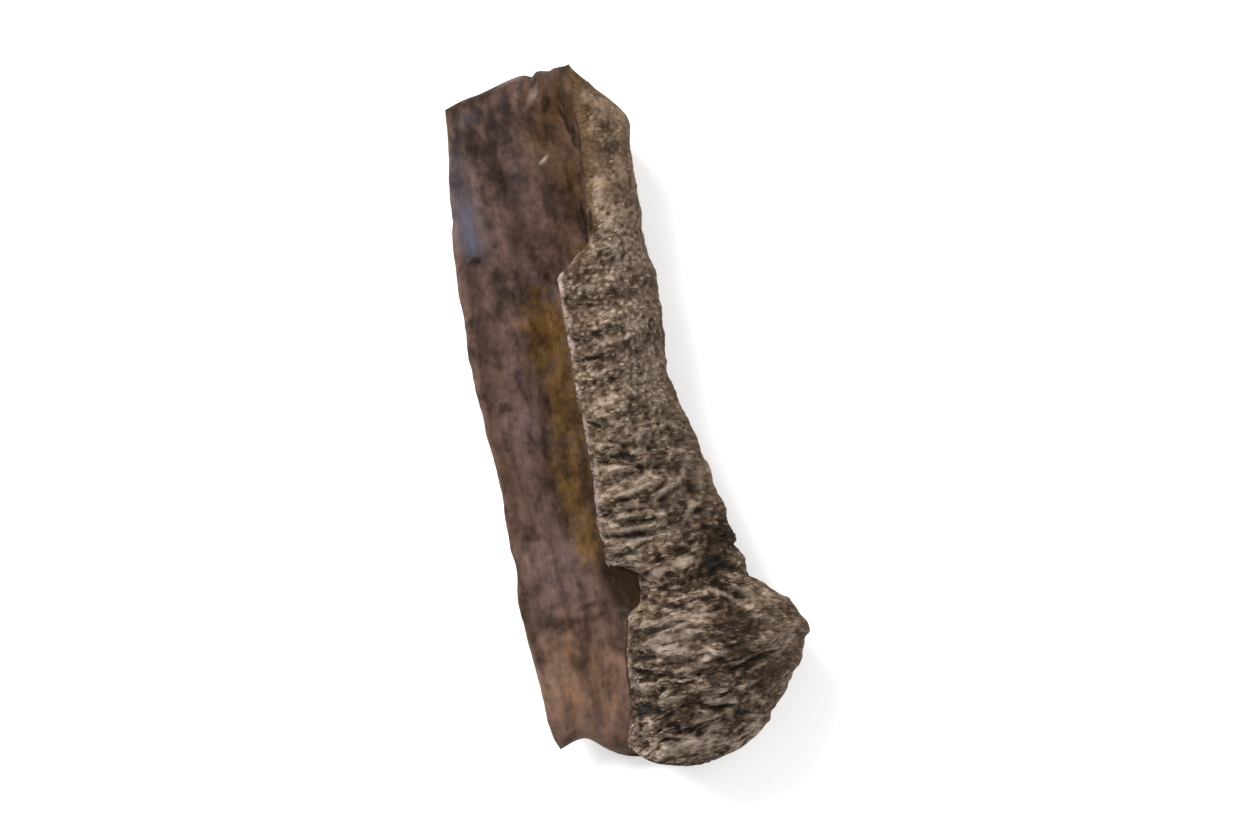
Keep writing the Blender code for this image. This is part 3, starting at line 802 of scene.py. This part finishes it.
# The rough skin's colours, from its pores to its bleached fibre tips, and its pattern sizes in millimetres
skinFinish = {
    "pore": colour(0.014, 0.009, 0.005),
    "brown": colour(0.058, 0.036, 0.022),
    "grey": colour(0.148, 0.107, 0.077),
    "pale": colour(0.345, 0.268, 0.208),
    "quiet": colour(0.118, 0.080, 0.051),
    "tan": colour(0.225, 0.152, 0.099),
    "tanDark": colour(0.072, 0.046, 0.028),
    "ridge": colour(0.300, 0.242, 0.196),
    "bleached": colour(0.350, 0.262, 0.200),
    # stains, and the painted shadow in the notch
    "stained": colour(0.022, 0.014, 0.008),
    # near black, for the grooves' own dark and painted shade
    "deep": colour(0.010, 0.008, 0.007),
    "rust": colour(0.110, 0.062, 0.028),
    "rustDark": colour(0.026, 0.015, 0.007),
    # the painted highlight on the lip's edge
    "rim": colour(0.330, 0.262, 0.232),
    "fineSize": (0.28, 0.2, 0.28),
    "fibreSize": (1.1, 0.14, 1.1),
    "patchSize": (4, 3, 4),
    "fleckSize": (0.9, 0.8, 0.9),
    "strandSize": (1.4, 0.4, 1.4),
    "splitSize": (1.2, 0.46, 1.2),
    "threadSize": (0.6, 0.26, 0.6),
    "grainSize": (0.48, 0.42, 0.48),
    "bumpDepth": 0.08,
    "specular": 0.08,
}


def barkSkin():
    material, bench = emptyMaterial("roughSkin")
    look, trait = skinFinish, bench.trait
    tone, light, quiet, lined, pebbled = map(trait, ("tone", "light", "quiet", "lined", "pebbled"))
    fine = bench.grainy(look["fineSize"], 3.0, 0.6)
    fibres = bench.grainy(look["fibreSize"])
    patches = bench.grainy(look["patchSize"])
    flecks = bench.grainy(look["fleckSize"])
    strands = bench.bands(look["strandSize"], 0.48, 0.64)
    splits = 1 - bench.bands(look["splitSize"], 0.34, 0.46)
    threads = bench.bands(look["threadSize"], 0.46, 0.68)
    grains = bench.dots(look["grainSize"])
    weathered = tone * (0.30 - pebbled * 0.08)
    weathered = weathered + (fine - 0.5) * (0.7 - quiet * 0.25 - pebbled * 0.15) + (fibres - 0.5) * 0.2
    weathered = weathered + (patches - 0.5) * 0.4 + light + 0.38
    drawn = strands * (flecks * 0.9 - 0.15) - splits * 0.36 + threads * (0.14 + quiet * 0.3) + 0.01
    weathered = weathered + drawn * lined * (0.75 - quiet * 0.35)
    weathered = weathered + (grains - 0.42) * (pebbled * (0.28 - quiet * 0.2) + lined * 0.12)
    # the darkest stop colours the pits, with painted shade in them
    stops = [(0.05, look["pore"]), (0.32, look["brown"]), (0.56, look["grey"]), (0.88, look["pale"])]
    shade = bench.node("ShaderNodeValToRGB", {"stops": stops}, {"Fac": weathered}, "Color")
    shade = (quiet * 0.55).mixed(shade, look["quiet"])
    smoothTan = tone * 0.5 + (fine - 0.5) * 1.3 + (grains - 0.42) * 0.5 + (patches - 0.5) * 1.0
    smoothTan = (smoothTan + (flecks - 0.5) * 0.8 + light + 0.55).risen(0, 1)
    shade = trait("tan").mixed(shade, smoothTan.mixed(look["tanDark"], look["tan"]))
    # dark stains, and painted shadow in the notch
    shade = (trait("stained") * (1.15 - fine * 0.7)).mixed(shade, look["stained"])
    # pale marks, with the painted highlight along the lip's edge
    shade = (trait("bleached") * (0.2 + fine)).mixed(shade, look["bleached"])
    shade = (trait("ridges") * (0.35 + fine * 0.7)).mixed(shade, look["ridge"])
    rusty = trait("edgeStain") * (0.5 + flecks * 0.8)
    shade = rusty.mixed(shade, fine.risen(0.2, 0.8).mixed(look["rustDark"], look["rust"]))
    # near black in the grooves: their own dark and painted shade
    shade = (trait("furrows") * 0.9).mixed(shade, look["deep"])
    # painted highlight: a broken pale line along the lip's edge, where the edge catches the light
    rim = (1 - trait("lipEdge").risen(0.008, 0.026)) * flecks.risen(0.4, 0.62)
    rim = rim * (1 - trait("tan")) * (1 - trait("stained")) * (1 - trait("edgeStain"))
    shade = (rim * (1 - lined * 0.85)).mixed(shade, look["rim"])
    bumps = fine * 0.5 + fibres * 0.4 + (strands * 0.8 - splits * 0.9 + threads * 0.4) * lined
    surfaced(bench, {
        "Base Color": shade, "Roughness": 0.62 + fine * 0.3, "Specular IOR Level": look["specular"],
        "Normal": bumped(bench, bumps + grains * pebbled * 0.7, look),
    })
    return material


# The scraped face: each wash has a dark and a light, which the mottling mixes; sizes are in millimetres
faceFinish = {
    "brown": (colour(0.022, 0.012, 0.009), colour(0.150, 0.092, 0.070)),
    "violet": (colour(0.034, 0.021, 0.021), colour(0.200, 0.128, 0.118)),
    "reddish": (colour(0.056, 0.030, 0.019), colour(0.225, 0.132, 0.092)),
    "golden": (colour(0.028, 0.014, 0.004), colour(0.185, 0.098, 0.031)),
    "rust": (colour(0.018, 0.009, 0.004), colour(0.100, 0.050, 0.019)),
    "orange": colour(0.260, 0.120, 0.048),
    # the painted reflection's bluish grey
    "sheen": colour(0.094, 0.100, 0.146),
    "bleached": colour(0.340, 0.290, 0.260),
    # the painted shade's dark brown under the lip
    "underLipShade": colour(0.026, 0.011, 0.002),
    # near black, for the grooves and for the painted shadow in the notch and beside the heel
    "deep": colour(0.016, 0.0075, 0.0025),
    "mottleSize": (0.9, 1.5, 1.2),
    "grainSize": (0.22, 1.4, 0.4),
    "speckSize": (0.42, 0.5, 0.42),
    "hueSize": (2.6, 3.8, 3),
    "bumpDepth": 0.06,
    "specular": 0.07,
    "coatRoughness": 0.38,
}


def scrapedFace():
    material, bench = emptyMaterial("scrapedFace")
    look, trait = faceFinish, bench.trait
    sizes = (look[name] for name in ("mottleSize", "grainSize", "speckSize", "hueSize"))
    mottle, grain, specks, hue = map(bench.grainy, sizes)
    level = trait("tone") * 0.26 + (mottle - 0.5) * 1.7 + (grain - 0.5) * 0.2 + (specks - 0.5) * 0.95
    # the light spots lighten or darken the level, with painted shade along the lip among them
    level = (level + trait("light") + 0.46).risen(-0.3, 1.3)
    shade = level.mixed(*look["brown"])
    washes = {
        "violet": (trait("violet") + hue.risen(0.5, 0.7) * 0.5) * 0.9,
        "reddish": trait("reddish") * 0.95,
        "golden": trait("golden") * (1.3 - hue * 0.4),
        "rust": trait("rust") * 0.95,
    }
    for name, amount in washes.items():
        shade = amount.mixed(shade, level.mixed(*look[name]))
    sheen, stained = trait("sheen"), trait("stained")
    shade = (trait("orange") * (specks * 0.7)).mixed(shade, look["orange"])
    # painted reflection: bluish grey mixed into the colour over the sheen spots
    shade = (sheen * (0.75 + mottle * 0.4)).mixed(shade, look["sheen"])
    # dark stains, and painted shadow in the notch and beside the heel
    shade = (stained * (1.2 - specks * 0.5)).mixed(shade, look["deep"])
    shade = (trait("bleached") * 0.8).mixed(shade, look["bleached"])
    # near black in the grooves: their own dark and painted shade
    shade = (trait("furrows") * 0.85).mixed(shade, look["deep"])
    # painted shade: the face under the overhanging lip is darkened, except at the top end, where the space
    # under the lip lies open
    underLipShade = trait("rimEdge").risen(0.50, 0.66) * (1 - trait("openTop"))
    shade = (underLipShade * 0.85).mixed(shade, look["underLipShade"])
    surfaced(bench, {
        "Base Color": shade, "Roughness": 0.5 + mottle * 0.25, "Specular IOR Level": look["specular"],
        "Normal": bumped(bench, grain * 0.5 + specks * 0.35, look),
        "Coat Weight": sheen * 0.3 + (1 - level) * (1 - underLipShade) * (1 - stained) * 0.1,
        "Coat Roughness": look["coatRoughness"],
    })
    return material


# Loose fibres and grains that lie half sunk in the rough skin, in metres
fibreForm = {
    "Fibres per area": 2.8e6,
    "Seed": 11,
    "Grain length": (0.00028, 0.00056),
    "Grain width": (0.00020, 0.00036),
    "Fibre length": (0.00040, 0.00100),
    "Fibre width": (0.00014, 0.00024),
    "Height": (0.00003, 0.00007),
    "Turn": 0.16,                      # this and the next in radians, either way
    "Tilt": 0.03,
    "Tone": (-0.5, 0.7),               # darker or paler than the skin under them
}


def fibreInputs():
    # the tree's inputs by name; each pair of values is a least and a most
    inputs = {}
    for name, value in fibreForm.items():
        if isinstance(value, tuple):
            inputs[name + " least"], inputs[name + " most"] = value
        else:
            inputs[name] = value
    return inputs


def fibreTree():
    tree = bpy.data.node_groups.new("fibresOnSkin", "GeometryNodeTree")
    kinds = {"Geometry": "NodeSocketGeometry", "Material": "NodeSocketMaterial", "Seed": "NodeSocketInt"}
    for name in ("Geometry", "Material", *fibreInputs()):
        tree.interface.new_socket(name, in_out="INPUT", socket_type=kinds.get(name, "NodeSocketFloat"))
    tree.interface.new_socket("Geometry", in_out="OUTPUT", socket_type="NodeSocketGeometry")
    bench = Wire(tree)
    given = bench.node("NodeGroupInput")
    draws = itertools.count()

    def drawn(least, most):
        # every draw has its own seed, so the order of the calls counts
        sockets = {"Min": least, "Max": most, "Seed": given.other("Seed") + next(draws)}
        return bench.node("FunctionNodeRandomValue", {"data_type": "FLOAT"}, sockets, "Value")

    def between(name):
        return drawn(given.other(name + " least"), given.other(name + " most"))

    def field(name):
        settings = {"data_type": "FLOAT"}
        return bench.node("GeometryNodeInputNamedAttribute", settings, {"Name": name}, "Attribute")

    density = given.other("Fibres per area") * field("fibrous")
    sockets = {"Mesh": given.other("Geometry"), "Density": density, "Seed": given.other("Seed")}
    settings = {"distribute_method": "RANDOM"}
    points = bench.node("GeometryNodeDistributePointsOnFaces", settings, sockets, "Points")
    sockets = {"Geometry": points, "Name": "tone", "Value": field("tone") + between("Tone")}
    settings = {"data_type": "FLOAT", "domain": "POINT"}
    toned = bench.node("GeometryNodeStoreNamedAttribute", settings, sockets, "Geometry")

    # long thin fibres lie along the growth lines, short grains where the skin is pebbled
    lined = field("lined")
    long = between("Grain length") * (1 - lined) + between("Fibre length") * lined
    wide = between("Grain width") * (1 - lined) + between("Fibre width") * lined
    size = bench.vector(long * 0.5, wide * 0.5, between("Height"))
    growth = bench.vector(1.0, 0.0 - field("slant"), 0.0)
    sockets = {"Rotation": points.other("Rotation"), "Factor": 1.0, "Vector": growth}
    settings = {"axis": "X", "pivot_axis": "Z"}
    laid = bench.node("FunctionNodeAlignRotationToVector", settings, sockets, "Rotation")
    spread, lift = drawn(-1.0, 1.0), drawn(-1.0, 1.0)
    swing = bench.vector(0.0, lift * given.other("Tilt"), spread * given.other("Turn"))
    swing = bench.node("FunctionNodeEulerToRotation", None, {"Euler": swing}, "Rotation")
    sockets = {"Rotation": laid, "Rotate By": swing}
    turned = bench.node("FunctionNodeRotateRotation", {"rotation_space": "LOCAL"}, sockets, "Rotation")

    fibre = bench.node("GeometryNodeMeshIcoSphere", None, {"Radius": 1.0, "Subdivisions": 1}, "Mesh")
    sockets = {"Points": toned, "Instance": fibre, "Rotation": turned, "Scale": size}
    fibres = bench.node("GeometryNodeInstanceOnPoints", None, sockets, "Instances")
    fibres = bench.node("GeometryNodeRealizeInstances", None, {"Geometry": fibres}, "Geometry")
    fibres = bench.node("GeometryNodeSetShadeSmooth", None, {"Geometry": fibres}, "Geometry")
    sockets = {"Geometry": fibres, "Material": given.other("Material")}
    fibres = bench.node("GeometryNodeSetMaterial", None, sockets, "Geometry")
    bench.node("NodeGroupOutput", None, {"Geometry": fibres})
    return tree


def growFibres(skinMesh, material):
    patch = placed("fibrePatch", skinMesh)
    modifier = patch.modifiers.new("fibres", "NODES")
    modifier.node_group = fibreTree()
    values = {"Material": material, **fibreInputs()}
    for socket in modifier.node_group.interface.items_tree:
        if socket.name in values:
            modifier[socket.identifier] = values[socket.name]
    grown = patch.evaluated_get(bpy.context.evaluated_depsgraph_get())
    mesh = bpy.data.meshes.new_from_object(grown)
    mesh.name = "fibres"
    patch.modifiers.remove(modifier)
    bpy.data.objects.remove(patch)
    layOutFibres(mesh)
    return mesh


def layOutFibres(mesh):
    # every fibre gets its own square of the flat layout, and every triangle its own half of a cell
    facesEach, cellsAcross, cellsUp = 20, 5, 2
    count = len(mesh.polygons) // facesEach
    perRow = math.ceil(math.sqrt(count))
    triangle = np.arange(len(mesh.polygons))
    fibre, part = triangle // facesEach, triangle % facesEach
    cell, upper = part // 2, (part % 2).astype(bool)
    corner = np.stack([
        (fibre % perRow + (cell % cellsAcross) / cellsAcross) / perRow,
        (fibre // perRow + (cell // cellsAcross) / cellsUp) / perRow,
    ], axis=-1)
    lowerHalf = np.array([(0.06, 0.06), (0.84, 0.06), (0.06, 0.84)])
    upperHalf = 1 - lowerHalf
    shape = np.where(upper[:, None, None], upperHalf, lowerHalf)
    flat = corner[:, None, :] + shape / (cellsAcross * perRow, cellsUp * perRow)
    if "OFBake" in mesh.attributes:    # the skin's own layout, which came along with its points
        mesh.attributes.remove(mesh.attributes["OFBake"])
    layout = mesh.uv_layers.new(name="OFBake")
    layout.uv.foreach_set("vector", flat.astype(np.float32).ravel())


# The camera looks straight down, turned so that the shard leans as in the photograph; in metres and watts
studio = {
    "lean": -11.0,           # degrees
    "lens": 180.0,
    "photoFrame": (1248, 832),
    "frameShare": 0.88,      # how much of the frame's height the shard fills
    "widthCounts": 0.6,      # its ends are rounded, so only so much of its width adds to that height
    "aimHeight": 0.6,        # the frame is fitted at this share of the shard's height
    "floorSize": 3.0,
    "floorColour": colour(0.90, 0.90, 0.90),
    "worldColour": colour(1.0, 1.0, 1.0),
    "worldStrength": 0.52,
    "floorGlow": 0.4,
    "lights": {
        "keySoftbox": {"place": (-0.26, 0.40, 0.34), "size": 0.30, "power": 5.4, "colour": (1.0, 0.99, 0.98)},
        "fillSoftbox": {"place": (0.38, 0.05, 0.42), "size": 0.45, "power": 1.0, "colour": (1.0, 0.98, 0.95)},
    },
}


def buildStudio():
    s = studio
    lowest, highest = np.array(solidBox[0]), np.array(solidBox[1])
    middle = (lowest + highest) / 2
    lean = math.radians(s["lean"])
    width, length, _ = highest - lowest
    reach = length * math.cos(lean) + width * abs(math.sin(lean)) * s["widthCounts"]
    camera = placed("camera", bpy.data.cameras.new("camera"))
    camera.data.lens = s["lens"]
    camera.data.clip_start, camera.data.clip_end = 0.001, 10.0
    frameWidth, frameHeight = s["photoFrame"]
    sensorHeight = camera.data.sensor_width * (frameHeight / frameWidth)
    distance = reach / s["frameShare"] * s["lens"] / sensorHeight
    camera.location = (middle[0], middle[1], highest[2] * s["aimHeight"] + distance)
    camera.rotation_euler = (0.0, 0.0, lean)
    bpy.context.scene.camera = camera

    for name, made in s["lights"].items():
        lightData = bpy.data.lights.new(name, "AREA")
        lightData.shape = "SQUARE"
        lightData.size = made["size"]
        lightData.energy = made["power"]
        lightData.color = made["colour"]
        light = placed(name, lightData)
        light.location = made["place"]
        light.rotation_euler = (-light.location).to_track_quat("-Z", "Y").to_euler()

    world = bpy.data.worlds.new("studio")
    world.use_nodes = True
    background = world.node_tree.nodes["Background"]
    background.inputs["Color"].default_value = s["worldColour"]
    background.inputs["Strength"].default_value = s["worldStrength"]
    bpy.context.scene.world = world
    bpy.context.scene.view_settings.view_transform = "Standard"

    bpy.ops.mesh.primitive_plane_add(size=s["floorSize"], location=(0, 0, 0))
    ground = bpy.context.object
    ground.name = "ground"
    material, bench = emptyMaterial("palePaper")
    surfaced(bench, {
        "Base Color": s["floorColour"], "Roughness": 0.9, "Specular IOR Level": 0.1,
        "Emission Color": s["floorColour"], "Emission Strength": s["floorGlow"],
    })
    ground.data.materials.append(material)


print("studio")
buildStudio()

print("shard")
shardMesh = buildShard()
skinMaterial = barkSkin()
shardMesh.materials.append(skinMaterial)
shardMesh.materials.append(scrapedFace())
shard = placed("shard", shardMesh)
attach(shard, "root")
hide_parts("agarwood_shard")

print("fibres")
fibres = placed("fibres", growFibres(shardMesh, skinMaterial))
print(len(fibres.data.polygons), "fibre faces")
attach(fibres, "root")
